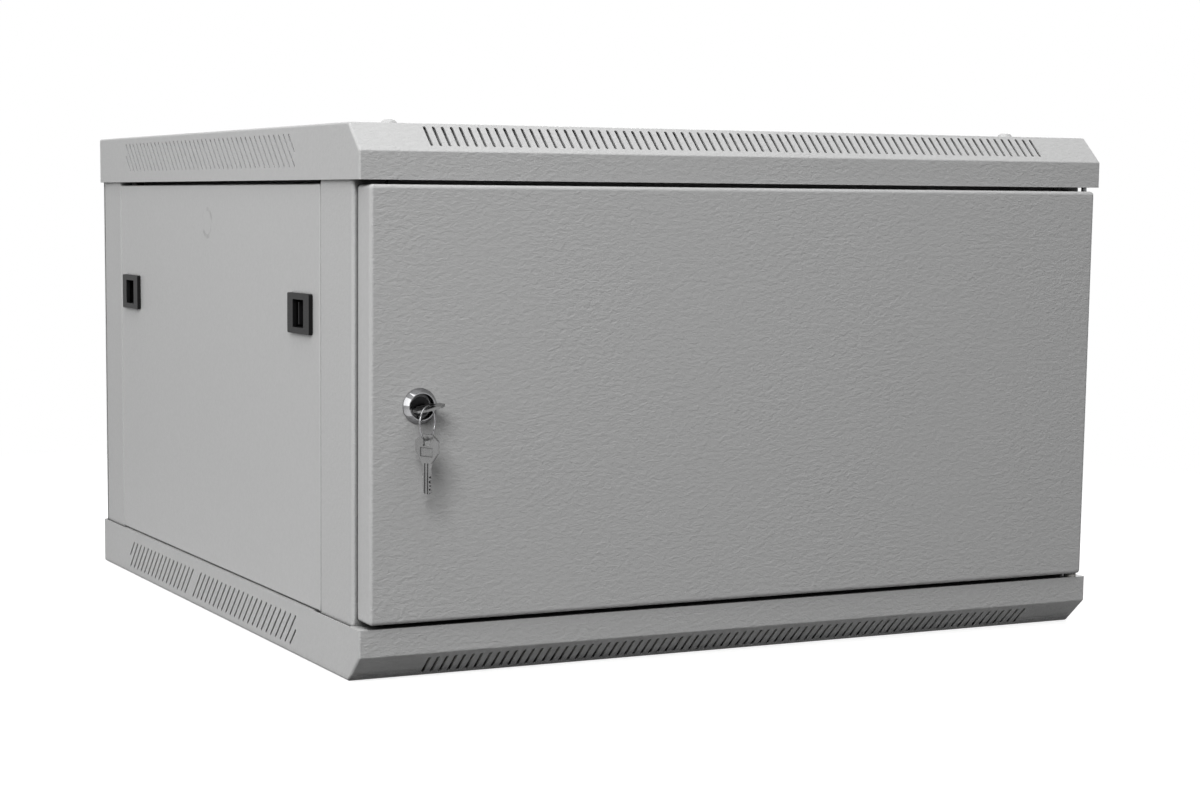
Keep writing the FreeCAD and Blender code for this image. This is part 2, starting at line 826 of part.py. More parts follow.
def depth_rail(side, z):
    """Hat-section rail from the front post to the rear post, slotted for depth adjustment."""
    low, high = z - depth_rail_web / 2, z + depth_rail_web / 2
    foot_x, web_x = -post_inner, -rail_corner
    path = [(low - depth_rail_foot, foot_x + frame_sheet), (low, foot_x + frame_sheet), (low, web_x),
            (high, web_x), (high, foot_x + frame_sheet), (high + depth_rail_foot, foot_x + frame_sheet)]
    end = bar_return + depth_rail_end_gap
    span = (post_front + end, frame_back - end)
    rail = prism_y(bent_sheet(path, frame_sheet, frame_bend), span)
    reach = (web_slot_length - web_slot_width) / 2
    cutters = []
    for i in range(web_slot_count):
        y = (i - (web_slot_count - 1) / 2) * web_slot_pitch
        cutters.append(slot((web_x, y - reach, z), (web_x, y + reach, z), web_slot_width, (1, 0, 0), 8))
    for y, hole_z in foot_screw_positions(post_front, 1) + foot_screw_positions(frame_back, -1):
        cutters.append(rod((foot_x - 1, y, hole_z), (1, 0, 0), small_screw_d + 2 * shank_fit, 5))
    return mirrored(rail.cut(cutters), side)


def foot_screws():
    """Screws of the depth rails, heads towards the middle of the cabinet."""
    screws = []
    for y, z in foot_screw_positions(post_front, 1) + foot_screw_positions(frame_back, -1):
        seat = -post_inner + frame_sheet
        head = rod((seat, y, z), (1, 0, 0), small_head_d, small_head)
        shank = rod((seat + lap, y, z), (-1, 0, 0), small_screw_d, 2 * frame_sheet + 2)
        screw = head.fuse(shank).removeSplitter()
        screws += [screw, mirrored(screw, 1)]
    return Part.makeCompound(screws)


def rail_bolt_lines():
    """Y and Z of every bolt line of the mounting rails."""
    faces = ((front_rail_face, -1), (rear_rail_face, 1))
    heights = depth_rail_heights().values()
    return [(rail_bolt_y(face, facing), z) for face, facing in faces for z in heights]


def rail_bolts():
    """Bolts through the mounting rails and the depth rails."""
    bolts = []
    for y, z in rail_bolt_lines():
        seat = -rail_corner + rail_sheet
        head = hex_prism((seat, y, z), (1, 0, 0), nut_across_flats, rail_bolt_head)
        grip = rail_sheet + frame_sheet + nut_height
        shank = rod((seat + lap, y, z), (-1, 0, 0), bolt_d, lap + grip + bolt_end)
        bolt = head.fuse(shank).removeSplitter()
        bolts += [bolt, mirrored(bolt, 1)]
    return Part.makeCompound(bolts)


def rail_nuts():
    """Nuts inside the depth rails."""
    nuts = []
    for y, z in rail_bolt_lines():
        seat = -rail_corner - frame_sheet
        nut = hexagon_nut((seat - nut_height, y, z), (1, 0, 0))
        nuts += [nut, mirrored(nut, 1)]
    return Part.makeCompound(nuts)


# ---- Side panels and their latches ----
def side_panel(side):
    """Removable left-hand panel: a shallow pan with two tabs below."""
    x = (-side_plane, -side_plane + panel_return)
    y = (post_back + panel_side_gap, rear_post_front - panel_side_gap)
    z = (cover_skirt, skirt_top - panel_top_gap)
    pan = rounded(box(x, y, z), panel_bend, lambda c: c.x < x[0] + 0.01)
    t = panel_sheet
    pan = pan.cut(box((x[0] + t, x[1] + 1), (y[0] + t, y[1] - t), (z[0] + t, z[1] - t)))
    tab_x = (-tab_plane(), -tab_plane() + tab_thickness)
    tabs = [box(tab_x, around(c, tab_width), (z[0] - tab_drop, z[0] + t)) for c in tab_centres()]
    cuts = []
    for centre in latch_centres().values():
        cuts.append(box((x[0] - 1, x[0] + 3 * t), around(centre, latch_body_length + 2 * latch_fit),
                        around(latch_centre_z, latch_body_height + 2 * latch_fit)))
    return mirrored(pan.fuse(tabs).removeSplitter().cut(cuts), side)


def latch_centres():
    """Middles of the front and rear latches, along Y."""
    return {"front": post_back + latch_from_end, "rear": rear_post_front - latch_from_end}


def toward_post(end):
    """Direction along Y from a latch to the post that it grips."""
    return -1 if end == "front" else 1


def latch_planes():
    """Distances from the middle plane: slider plate's outer face, its inner face and the body's floor."""
    plate_out = side_plane - post_step - frame_sheet - latch_fit
    plate_in = plate_out - slider_plate
    return plate_out, plate_in, plate_in - latch_fit - latch_wall


def latch_housing(side, end):
    """Moulded latch body with a framed window, pushed through the panel."""
    centre = latch_centres()[end]
    plate_out, plate_in, floor = latch_planes()
    face = box((-side_plane - latch_proud, -side_plane), around(centre, latch_length),
               around(latch_centre_z, latch_height))
    face = rounded(face, latch_corner, lambda c: abs(c.x + side_plane + latch_proud / 2) < 0.01)
    body = box((-side_plane, -floor), around(centre, latch_body_length),
               around(latch_centre_z, latch_body_height))
    window = box((-side_plane - latch_proud - 1, -side_plane), around(centre, latch_window_length),
                 around(latch_centre_z, latch_window_height))
    cavity = box((-side_plane, -floor - latch_wall), around(centre, latch_body_length - 2 * latch_wall),
                 around(latch_centre_z, latch_body_height - 2 * latch_wall))
    way = toward_post(end)
    mouth_y = sorted((centre, centre + way * latch_body_length))
    mouth = box((-plate_out - latch_fit, -floor - latch_wall), mouth_y,
                around(latch_centre_z, tongue_width + 2 * latch_fit))
    housing = face.fuse(body).cut([window, cavity, mouth])
    ledge_x = (-plate_out - latch_fit - latch_wall, -plate_out - latch_fit)
    ledge_y = around(centre, latch_body_length - 2 * latch_wall)
    ledge_middle = (latch_body_height - 3 * latch_wall) / 2
    ledges = [box(ledge_x, ledge_y, around(latch_centre_z + s * ledge_middle, latch_wall)) for s in (-1, 1)]
    return mirrored(housing.fuse(ledges).removeSplitter(), side)


def latch_slider(side, end):
    """Sliding bolt in its released place, with a finger rib and a tongue towards the post."""
    centre = latch_centres()[end]
    way = toward_post(end)
    plate_out, plate_in, floor = latch_planes()
    middle = centre - way * slider_travel / 2
    plate_height = latch_body_height - 2 * latch_wall - 2 * latch_fit
    plate = box((-plate_out, -plate_in), around(middle, slider_length),
                around(latch_centre_z, plate_height))
    rib_height = plate_height - 2 * latch_wall - latch_fit
    rib = box((-side_plane - slider_rib_proud, -plate_out), around(middle, slider_rib),
              around(latch_centre_z, rib_height))
    flange_edge = post_back + post_flange if end == "front" else rear_post_front - post_flange
    tip = flange_edge + way * (tongue_reach - slider_travel)
    tongue = box((-plate_out, -plate_in), sorted((middle, tip)), around(latch_centre_z, tongue_width))
    return mirrored(plate.fuse([rib, tongue]).removeSplitter(), side)


# ---- Door ----
def door_shell():
    """Folded door pan, open at the back inside its lips."""
    x, y, z = (-door_half, door_half), (door_front, door_back), (door_low, door_high)
    pan = rounded(box(x, y, z), door_bend, lambda c: c.y < door_back - 0.01)
    t = door_sheet
    cavity = box((x[0] + t, x[1] - t), (y[0] + t, y[1] - t), (z[0] + t, z[1] - t))
    back_hole = box((x[0] + door_lip, x[1] - door_lip), (y[1] - 2 * t, y[1] + 1),
                    (z[0] + door_lip, z[1] - door_lip))
    lock_hole = rod((lock_x, door_front - 1, lock_z), (0, 1, 0), lock_barrel_d + 2 * lock_barrel_fit, 4)
    pins = [hinge_hole((door_low - 1, door_low + 3)), hinge_hole((door_high - 3, door_high + 1))]
    return pan.cut([cavity, back_hole, lock_hole] + pins)


def door_stiffener(side):
    """Upright hat-section stiffener behind the door skin."""
    skin = door_front + door_sheet
    half = stiffener_web / 2
    middle = -stiffener_spacing / 2
    web_y = skin + stiffener_depth
    foot_y = skin + stiffener_sheet
    path = [(middle - half - stiffener_foot, foot_y), (middle - half, foot_y), (middle - half, web_y),
            (middle + half, web_y), (middle + half, foot_y), (middle + half + stiffener_foot, foot_y)]
    span = (door_low + door_sheet + stiffener_end_gap, door_high - door_sheet - stiffener_end_gap)
    return mirrored(prism_z(bent_sheet(path, stiffener_sheet, frame_bend), span), side)


# ---- Door hinge ----
def hinge_bracket():
    """Angle welded inside the door that guides the upper pin."""
    high = door_high - bracket_drop
    x = (pivot_x - bracket_width / 2, door_half - door_sheet)
    y = (door_front + door_sheet, pivot_y + bracket_width / 2 - 1)
    ear = box(x, y, (high - bracket_sheet, high))
    leg = box(x, (y[0], y[0] + bracket_sheet), (high - bracket_leg, high))
    return ear.fuse(leg).removeSplitter().cut(hinge_hole((high - 4, high + 4), pin_shank_d))


def hinge_pin_top():
    """Spring-loaded upper pin with a collar and a finger lever."""
    high = skirt_top + pin_reach
    low = door_high - pin_below
    collar_z = door_high - collar_drop - collar_height
    pin = rod((pivot_x, pivot_y, collar_z), (0, 0, 1), hinge_pin_d, high - collar_z)
    pin = rounded(pin, pin_tip_round, lambda c: c.z > high - 0.01)
    shank = rod((pivot_x, pivot_y, low), (0, 0, 1), pin_shank_d, collar_z - low + lap)
    collar = rod((pivot_x, pivot_y, collar_z), (0, 0, 1), collar_d, collar_height)
    lever = rod((pivot_x, pivot_y, low + lever_rise), (-1, 0, 0), lever_d, lever_reach)
    return pin.fuse([shank, collar, lever]).removeSplitter()


def hinge_spring():
    """Compression spring between the bracket and the pin's collar."""
    low = door_high - bracket_drop + spring_wire / 2
    high = door_high - collar_drop - collar_height - spring_wire / 2
    pitch = (high - low) / spring_turns
    radius = (spring_d - spring_wire) / 2
    helix = Part.makeHelix(pitch, high - low, radius)
    start = Vector(radius, 0, 0)
    section = Part.Wire(Part.makeCircle(spring_wire / 2, start, Vector(0, 1, 0)))
    spring = Part.Wire(helix.Edges).makePipeShell([section], True, True)
    spring.translate(Vector(pivot_x, pivot_y, low))
    return spring


def hinge_pin_bottom():
    """Fixed lower pin, riveted into the base's front lip."""
    seat = cover_skirt
    low = (pivot_x, pivot_y, seat - cover_sheet)
    pin = rod(low, (0, 0, 1), hinge_pin_d, cover_sheet + door_gap + bottom_pin_rise)
    head = rod(low, (0, 0, -1), bottom_pin_head_d, bottom_pin_head)
    return pin.fuse(head).removeSplitter()


def hinge_washer():
    """Nylon washer that carries the door on the base."""
    disc = rod((pivot_x, pivot_y, cover_skirt), (0, 0, 1), washer_d, door_gap)
    return disc.cut(hinge_hole((cover_skirt - 1, door_low + 1)))


# ---- Lock and keys ----
def lock_body():
    """Chromed lock barrel with a stepped bezel and a recess for the key."""
    rim_y = door_front - bezel_rim
    nose_y = door_front - bezel_proud
    outline = [(0, door_front), (bezel_d / 2, door_front), (bezel_d / 2, rim_y),
               (bezel_front_d / 2, nose_y), (recess_d / 2, nose_y), (recess_d / 2, plug_face),
               (0, plug_face)]
    wire = Part.makePolygon([Vector(r, y, 0) for r, y in outline + outline[:1]])
    bezel = Part.Face(wire).revolve(Vector(0, 0, 0), Vector(0, 1, 0), 360)
    barrel = rod((0, door_front, 0), (0, 1, 0), lock_barrel_d, barrel_back - door_front)
    bore = rod((0, nose_y - 1, 0), (0, 1, 0), plug_d + 2 * plug_fit, barrel_back - nose_y + 2)
    lock = bezel.fuse(barrel).removeSplitter().cut(bore)
    lock.translate(Vector(lock_x, 0, lock_z))
    return lock


def lock_nut():
    """Hexagon nut that clamps the lock to the door skin."""
    seat = door_front + door_sheet
    nut = hex_prism((lock_x, seat, lock_z), (0, 1, 0), lock_nut_d, lock_nut_height)
    bore = rod((lock_x, seat - 1, lock_z), (0, 1, 0), lock_barrel_d + 2 * shank_fit, lock_nut_height + 2)
    return nut.cut(bore)


def lock_plug():
    """Turning plug with the keyway in front and the cam's square behind."""
    cam_y = barrel_back + cam_gap
    plug = rod((lock_x, plug_face, lock_z), (0, 1, 0), plug_d, cam_y - plug_face)
    square = box(around(lock_x, cam_square), (cam_y - lap, cam_y + cam_thickness),
                 around(lock_z, cam_square))
    keyway = box(around(lock_x, key_blade_width + 2 * key_fit),
                 (plug_face - 1, bow_start + key_blade_length + key_fit),
                 around(lock_z, key_thickness + 2 * key_fit))
    keyway.rotate(Vector(lock_x, 0, lock_z), Vector(0, 1, 0), -key_turn)
    screw_hole = rod((lock_x, cam_y + cam_thickness + 1, lock_z), (0, -1, 0), cam_screw_d + 2 * shank_fit,
                     1 + cam_screw_grip + cam_screw_end_gap)
    return plug.fuse(square).removeSplitter().cut([keyway, screw_hole])


def lock_cam():
    """Cam plate, hanging down while the lock is open."""
    y = (barrel_back + cam_gap, barrel_back + cam_gap + cam_thickness)
    arm = box(around(lock_x, cam_width), y, (lock_z - cam_length, lock_z))
    arm = arm.fuse(rod((lock_x, y[0], lock_z), (0, 1, 0), cam_width, cam_thickness)).removeSplitter()
    return arm.cut(box(around(lock_x, cam_square), (y[0] - 1, y[1] + 1), around(lock_z, cam_square)))


def cam_screw():
    """Screw that holds the cam on the plug."""
    seat = barrel_back + cam_gap + cam_thickness
    head = rod((lock_x, seat, lock_z), (0, 1, 0), cam_screw_head_d, cam_screw_head)
    shank = rod((lock_x, seat + lap, lock_z), (0, -1, 0), cam_screw_d, cam_screw_grip + lap)
    return head.fuse(shank).removeSplitter()


def key_outline():
    """Outline of the right half of a key, from the blade's tip to the end of the bow."""
    half_blade = key_blade_width / 2
    neck = key_bow_length - key_end_taper - key_bow_side
    return [(half_blade / 2, key_blade_length), (half_blade, key_blade_length - half_blade / 2),
            (half_blade, key_neck_length), (key_neck_width / 2, 0), (key_bow_width / 2, -neck),
            (key_bow_width / 2, -neck - key_bow_side), (key_end_width / 2, -key_bow_length)]


def key_blank():
    """Key lying in the XY plane, blade towards +Y, with the bow's shoulder at the origin."""
    right = key_outline()
    key = prism_z(polygon(right + [(-x, y) for x, y in reversed(right)]), around(0, key_thickness))
    hole_y = (-key_bow_length + key_hole_from_end, -key_bow_length + key_hole_from_end + key_hole_length)
    cutters = [box(around(0, key_hole_width), hole_y, (-key_thickness, key_thickness))]
    panel_y = (hole_y[1] + 1, hole_y[1] + 1 + key_panel_length)
    for face in (-key_thickness / 2, key_thickness / 2):
        cutters.append(box(around(0, key_panel_width), panel_y, around(face, 2 * key_panel_depth)))
        for offset in (-key_groove_offset, key_groove_offset):
            cutters.append(box(around(offset, key_groove_width), (0, key_blade_length + 1),
                               around(face, 2 * key_groove_depth)))
    edge = key_blade_width / 2
    for place, depth_in in key_notches:
        reach = depth_in + 1
        notch = polygon([(edge - depth_in, place), (edge + 1, place - reach), (edge + 1, place + reach)])
        cutters.append(prism_z(notch, (-key_thickness, key_thickness)))
    return key.cut(cutters)


def key_inserted():
    """Key in the lock, its bow a little off level."""
    key = key_blank()
    key.translate(Vector(lock_x, bow_start, lock_z))
    key.rotate(Vector(lock_x, 0, lock_z), Vector(0, 1, 0), -key_turn)
    return key


def ring_direction():
    """Level direction in the ring's plane, away from the lock."""
    angle = math.radians(ring_turn)
    return Vector(-math.sin(angle), -math.cos(angle), 0)


def ring_centre():
    """Middle of the ring, which hangs from the strip between the bow's hole and its end."""
    leg = Vector(lock_x, bow_end + key_hole_from_end + ring_leg_place, lock_z)
    centre = leg + ring_direction() * ring_inset
    local_fall = (centre.x - lock_x) * math.tan(math.radians(key_turn))
    return centre + Vector(0, 0, local_fall - ring_drop)


def key_ring():
    """Wire ring through the bow, with one end of the wire bent out."""
    normal = ring_direction().cross(Vector(0, 0, 1))
    ring = Part.makeTorus(ring_radius, ring_wire / 2, ring_centre(), normal)
    slope = math.radians(tail_slope)
    start = ring_centre() + ring_direction() * tail_start[0] + Vector(0, 0, tail_start[1])
    tail = rod(start, (math.cos(slope), 0, -math.sin(slope)), ring_wire, tail_length)
    return ring.fuse(tail).removeSplitter()


def ring_low():
    """Lowest point of the ring's wire centre line."""
    return ring_centre() - Vector(0, 0, ring_radius)


def key_spare():
    """Spare key hanging from the ring, blade down."""
    key = key_blank()
    key.translate(Vector(0, key_bow_length - key_hole_from_end, 0))
    key.rotate(Vector(0, 0, 0), Vector(1, 0, 0), -90)
    key.rotate(Vector(0, 0, 0), Vector(0, 0, 1), spare_turn)
    key.translate(ring_low() + Vector(0, 0, ring_wire / 2 + ring_clearance))
    return key


# ---- Assembly ----
front_rail_face = post_front + front_rail_set_back
rear_rail_face = frame_back - rear_rail_set_back


def roof_and_base():
    """Covers, cable entry plates and their fasteners."""
    plate, screws = entry_plate(), entry_screws()
    return {"roof_cover": roof_cover(), "base_cover": base_cover(),
            "roof_entry_plate": plate, "base_entry_plate": flipped(plate),
            "roof_entry_screws": screws, "base_entry_screws": flipped(screws),
            "roof_bolts": cover_bolts(), "roof_nuts": cover_nuts(),
            "base_studs": base_studs(), "base_nuts": flipped(cover_nuts())}


def frame_nodes():
    """Posts, cross bars and the rear panel."""
    front_top, rear_top = front_bar(), rear_bar()
    return {"front_post_left": front_post(-1), "front_post_right": front_post(1),
            "rear_post_left": rear_post(-1), "rear_post_right": rear_post(1),
            "front_bar_top": front_top, "front_bar_bottom": flipped(front_top),
            "rear_bar_top": rear_top, "rear_bar_bottom": flipped(rear_top),
            "rear_panel": rear_panel(), "rear_panel_rivets": rivets(), "cable_window_trim": window_trim()}


def rail_nodes():
    """Mounting rails, depth rails and their fasteners."""
    nodes = {"depth_rail_screws": foot_screws(), "rail_bolts": rail_bolts(), "rail_nuts": rail_nuts()}
    for name, side in sides.items():
        nodes["front_rail_" + name] = mounting_rail(side, front_rail_face, -1)
        nodes["rear_rail_" + name] = mounting_rail(side, rear_rail_face, 1)
        for level, z in depth_rail_heights().items():
            nodes["depth_rail_" + level + "_" + name] = depth_rail(side, z)
    return nodes


def panel_nodes():
    """Side panels with two latches each."""
    nodes = {}
    for name, side in sides.items():
        nodes["side_panel_" + name] = side_panel(side)
        for end in latch_centres():
            nodes["latch_housing_" + name + "_" + end] = latch_housing(side, end)
            nodes["latch_slider_" + name + "_" + end] = latch_slider(side, end)
    return nodes


def door_nodes():
    """Door, hinge, lock and keys."""
    return {"door_shell": door_shell(), "door_stiffener_left": door_stiffener(-1),
            "door_stiffener_right": door_stiffener(1), "hinge_bracket": hinge_bracket(),
            "hinge_pin_top": hinge_pin_top(), "hinge_spring": hinge_spring(),
            "hinge_pin_bottom": hinge_pin_bottom(), "hinge_washer": hinge_washer(),
            "lock_body": lock_body(), "lock_nut": lock_nut(), "lock_plug": lock_plug(),
            "lock_cam": lock_cam(), "cam_screw": cam_screw(), "key_inserted": key_inserted(),
            "key_ring": key_ring(), "key_spare": key_spare()}


def export(nodes):
    """Write one STEP file per node."""
    os.makedirs("parts", exist_ok=True)
    for name, shape in nodes.items():
        shape.exportStep("parts/" + name + ".step")
        print(name, len(shape.Solids), shape.isValid(), round(shape.Volume, 1))


for group in (roof_and_base, frame_nodes, rail_nodes, panel_nodes, door_nodes):
    export(group())
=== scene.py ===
import bpy
import json
import math
from mathutils import Matrix, Vector


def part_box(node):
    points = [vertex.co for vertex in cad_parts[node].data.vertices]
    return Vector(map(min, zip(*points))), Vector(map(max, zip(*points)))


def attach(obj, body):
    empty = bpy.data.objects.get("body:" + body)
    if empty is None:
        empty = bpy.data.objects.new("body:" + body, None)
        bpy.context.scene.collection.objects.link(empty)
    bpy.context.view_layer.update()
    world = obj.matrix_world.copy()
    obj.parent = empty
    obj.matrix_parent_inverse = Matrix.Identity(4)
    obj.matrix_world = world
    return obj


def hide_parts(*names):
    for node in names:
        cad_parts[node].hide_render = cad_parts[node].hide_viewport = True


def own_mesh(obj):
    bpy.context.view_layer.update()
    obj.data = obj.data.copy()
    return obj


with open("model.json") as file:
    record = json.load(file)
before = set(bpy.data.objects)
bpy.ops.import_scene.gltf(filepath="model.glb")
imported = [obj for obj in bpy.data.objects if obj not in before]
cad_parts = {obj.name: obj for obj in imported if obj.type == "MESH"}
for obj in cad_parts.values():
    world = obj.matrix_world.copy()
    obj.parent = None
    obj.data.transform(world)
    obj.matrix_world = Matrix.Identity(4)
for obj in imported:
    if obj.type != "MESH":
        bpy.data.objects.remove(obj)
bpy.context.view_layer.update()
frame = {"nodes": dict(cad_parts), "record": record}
nodes = frame["nodes"]
scene = bpy.context.scene


# ---- Camera at the photograph's place, fitted to the cabinet's edges ----
CAMERA_PLACE = (-0.87860, -1.72657, 0.31982)
CAMERA_YAW = 0.442385
CAMERA_PITCH = -0.119981
CAMERA_ROLL = 0.0075591
CAMERA_SHIFT = (0.0891, 0.0714)
SENSOR_MM = 36.0
LENS_MM = 70.96


def make_camera():
    yaw, pitch, roll = CAMERA_YAW, CAMERA_PITCH, CAMERA_ROLL
    forward = Vector((math.sin(yaw) * math.cos(pitch), math.cos(yaw) * math.cos(pitch), math.sin(pitch)))
    right = Vector((math.cos(yaw), -math.sin(yaw), 0.0))
    up = right.cross(forward)
    level_right, level_up = right, up
    right = level_right * math.cos(roll) + level_up * math.sin(roll)
    up = level_up * math.cos(roll) - level_right * math.sin(roll)
    data = bpy.data.cameras.new("camera")
    data.sensor_width = SENSOR_MM
    data.lens = LENS_MM
    data.shift_x, data.shift_y = CAMERA_SHIFT
    data.clip_start = 0.05
    data.clip_end = 60.0
    cam = bpy.data.objects.new("camera", data)
    scene.collection.objects.link(cam)
    turn = Matrix((right, up, -forward)).transposed().to_4x4()
    cam.matrix_world = Matrix.Translation(CAMERA_PLACE) @ turn
    scene.camera = cam


# ---- Node helpers ----
BLACK = (0.0, 0.0, 0.0, 1.0)


def shades(colour, darker, lighter):
    """A darker and a lighter version of a colour, no channel over 1, with full alpha."""
    return [[min(1.0, c * factor) for c in colour] + [1.0] for factor in (darker, lighter)]


class Graph:
    """A material whose shader nodes are added and joined by short calls."""

    def __init__(self, name):
        self.material = bpy.data.materials.new(name)
        self.material.use_nodes = True
        self.tree = self.material.node_tree
        self.bsdf = self.tree.nodes["Principled BSDF"]

    def add(self, kind, inputs=None, **settings):
        """Adds a node. Each input is either another node's output or a plain value."""
        node = self.tree.nodes.new(kind)
        for key, value in settings.items():
            setattr(node, key, value)
        for key, value in (inputs or {}).items():
            if isinstance(value, bpy.types.NodeSocket):
                self.tree.links.new(value, node.inputs[key])
            else:
                node.inputs[key].default_value = value
        return node

    def link(self, source, target):
        self.tree.links.new(source, target)

    def noise(self, vector, scale, detail=3.0, rough=0.5, distortion=0.0):
        return self.add("ShaderNodeTexNoise", {"Vector": vector, "Scale": scale, "Detail": detail,
                                               "Roughness": rough, "Distortion": distortion}).outputs["Fac"]

    def remap(self, value, low, high, to_low, to_high):
        return self.add("ShaderNodeMapRange", {"Value": value, "From Min": low, "From Max": high,
                                               "To Min": to_low, "To Max": to_high}).outputs["Result"]

    def mix(self, factor, a, b):
        """Mixes two colours. On a Mix node, sockets 0, 6 and 7 and output 2 are the ones for colours."""
        return self.add("ShaderNodeMix", {0: factor, 6: a, 7: b}, data_type="RGBA").outputs[2]

    def math(self, operation, a, b=0.0):
        return self.add("ShaderNodeMath", {0: a, 1: b}, operation=operation).outputs[0]

    def painted_gap_shade(self, colour, reach, depth, closed=0.15, clear=0.85):
        """Colour with painted shade: darkened in gaps and grooves, where shade falls.

        The open share of the sky within reach metres is closed where it is fully darkened, down to depth
        of its colour, and clear where it keeps all of it.
        """
        open_sky = self.add("ShaderNodeAmbientOcclusion", {"Distance": reach}, samples=6).outputs["AO"]
        return self.mix(self.remap(open_sky, closed, clear, depth, 1.0), BLACK, colour)

    def bump(self, height, strength, distance):
        node = self.add("ShaderNodeBump", {"Height": height, "Strength": strength, "Distance": distance})
        self.link(node.outputs["Normal"], self.bsdf.inputs["Normal"])


def ring_mark(g, place, colour):
    """Colour with the faint broken ring that the left side panel's paint has."""
    away = g.add("ShaderNodeVectorMath", {0: place, 1: MARK_PLACE}, operation="DISTANCE").outputs["Value"]
    from_rim = g.math("ABSOLUTE", g.math("SUBTRACT", away, MARK_RADIUS))
    broken = g.remap(g.noise(place, 70.0, 1.0, 0.5), 0.42, 0.58, 0.78, 1.0)
    return g.mix(g.math("MAXIMUM", broken, g.remap(from_rim, 0.0, MARK_WIDTH, 0.0, 1.0)), BLACK, colour)


def powder_coat(name, colour, texture, grain, rough, stretch=(1.0, 1.0, 1.0), side_share=1.0, marked=False):
    """Textured powder coat: orange-peel cells with finer grain over them, faint colour drift, and painted shade
    in gaps.

    texture is the bump's height in metres, and grain is the cells' number per metre. Faces that look
    sideways get side_share of the bump, since the real covers and door are smoother there.
    """
    g = Graph(name)
    place = g.add("ShaderNodeTexCoord").outputs["Object"]
    scaled = g.add("ShaderNodeMapping", {"Vector": place, "Scale": stretch}).outputs["Vector"]
    cells = g.noise(scaled, grain, 2.0, 0.5, 0.5)
    fine = g.noise(scaled, grain * 2.7, 2.0, 0.5)
    drift = g.noise(place, 3.5, 2.0, 0.5)
    patch = g.remap(g.noise(place, 9.0, 2.0, 0.5), 0.35, 0.65, 0.75, 1.15)
    normal = g.add("ShaderNodeTexCoord").outputs["Normal"]
    sideways = g.math("ABSOLUTE", g.add("ShaderNodeSeparateXYZ", {"Vector": normal}).outputs["X"])
    strength = g.math("MULTIPLY", patch, g.remap(sideways, 0.3, 0.9, 1.0, side_share))
    height = g.math("MULTIPLY", g.math("ADD", cells, g.math("MULTIPLY", fine, 0.35)), strength)
    g.bump(height, 1.0, texture)
    dark, light = shades(colour, 0.955, 1.035)
    speck = g.remap(cells, 0.35, 0.65, 0.25, 0.75)
    tone = g.math("ADD", g.math("MULTIPLY", speck, 0.6), g.math("MULTIPLY", drift, 0.4))
    # Painted shade: the coat's colour is darkened in gaps, seams and slots.
    shaded = g.painted_gap_shade(g.mix(tone, dark, light), reach=0.010, depth=0.10, closed=0.35, clear=0.65)
    if marked:
        shaded = ring_mark(g, place, shaded)
    g.link(shaded, g.bsdf.inputs["Base Color"])
    g.bsdf.inputs["Specular IOR Level"].default_value = 0.35
    g.link(g.remap(cells, 0.3, 0.7, rough + 0.06, rough - 0.05), g.bsdf.inputs["Roughness"])
    return g.material


def metal(name, colour, rough, scratch, gap_reach=0.005, closed=0.30):
    """Bare or plated metal: fine scratches scratch metres deep, cloudy tone, and painted shade in gaps."""
    g = Graph(name)
    place = g.add("ShaderNodeTexCoord").outputs["Object"]
    lines = g.noise(place, 900.0, 3.0, 0.6)
    cloud = g.noise(place, 60.0, 3.0, 0.5)
    dark, light = shades(colour, 0.86, 1.06)
    # Painted shade: the metal's colour is darkened in gaps and hollows.
    colour_with_painted_gap_shade = g.painted_gap_shade(g.mix(cloud, dark, light), gap_reach, depth=0.05, closed=closed, clear=0.98)
    g.link(colour_with_painted_gap_shade, g.bsdf.inputs["Base Color"])
    g.bsdf.inputs["Metallic"].default_value = 1.0
    tone = g.math("ADD", g.math("MULTIPLY", lines, 0.5), g.math("MULTIPLY", cloud, 0.5))
    g.link(g.remap(tone, 0.3, 0.7, rough * 0.7, rough * 1.35), g.bsdf.inputs["Roughness"])
    g.bump(lines, 0.35, scratch)
    return g.material


def plastic(name, colour, rough, texture):
    """Moulded plastic with a fine spark-eroded grain, texture metres high."""
    g = Graph(name)
    place = g.add("ShaderNodeTexCoord").outputs["Object"]
    grain = g.noise(place, 1400.0, 2.0, 0.5)
    cloud = g.noise(place, 45.0, 2.0, 0.5)
    dark, light = shades(colour, 0.8, 1.25)
    # Painted shade: the plastic's colour is darkened in gaps and grooves.
    g.link(g.painted_gap_shade(g.mix(cloud, dark, light), reach=0.012, depth=0.15), g.bsdf.inputs["Base Color"])
    g.link(g.remap(grain, 0.3, 0.7, rough - 0.08, rough + 0.08), g.bsdf.inputs["Roughness"])
    g.bsdf.inputs["Specular IOR Level"].default_value = 0.18
    g.bump(grain, 0.6, texture)
    return g.material


make_camera()

# ---- Materials ----
panel_low, panel_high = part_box("side_panel_left")
MARK_PLACE = (panel_low[0], (panel_low[1] + panel_high[1]) / 2 + 0.004, panel_high[2] - 0.029)
MARK_RADIUS = 0.0105
MARK_WIDTH = 0.0018

paint = (0.568, 0.569, 0.568)
wide_cells = (0.55, 1.0, 1.0)
coat = powder_coat("coat_textured", paint, texture=0.00046, grain=380.0, rough=0.52,
                   stretch=wide_cells, side_share=0.4)
coat_cover = powder_coat("coat_cover", paint, texture=0.00050, grain=380.0, rough=0.50,
                         stretch=wide_cells, side_share=0.25)
coat_side = powder_coat("coat_smooth", paint, texture=0.00007, grain=480.0, rough=0.46)
coat_marked = powder_coat("coat_marked", paint, texture=0.00007, grain=480.0, rough=0.46, marked=True)
coat_inner = powder_coat("coat_inner", [c * 0.92 for c in paint], texture=0.00012, grain=520.0, rough=0.52)
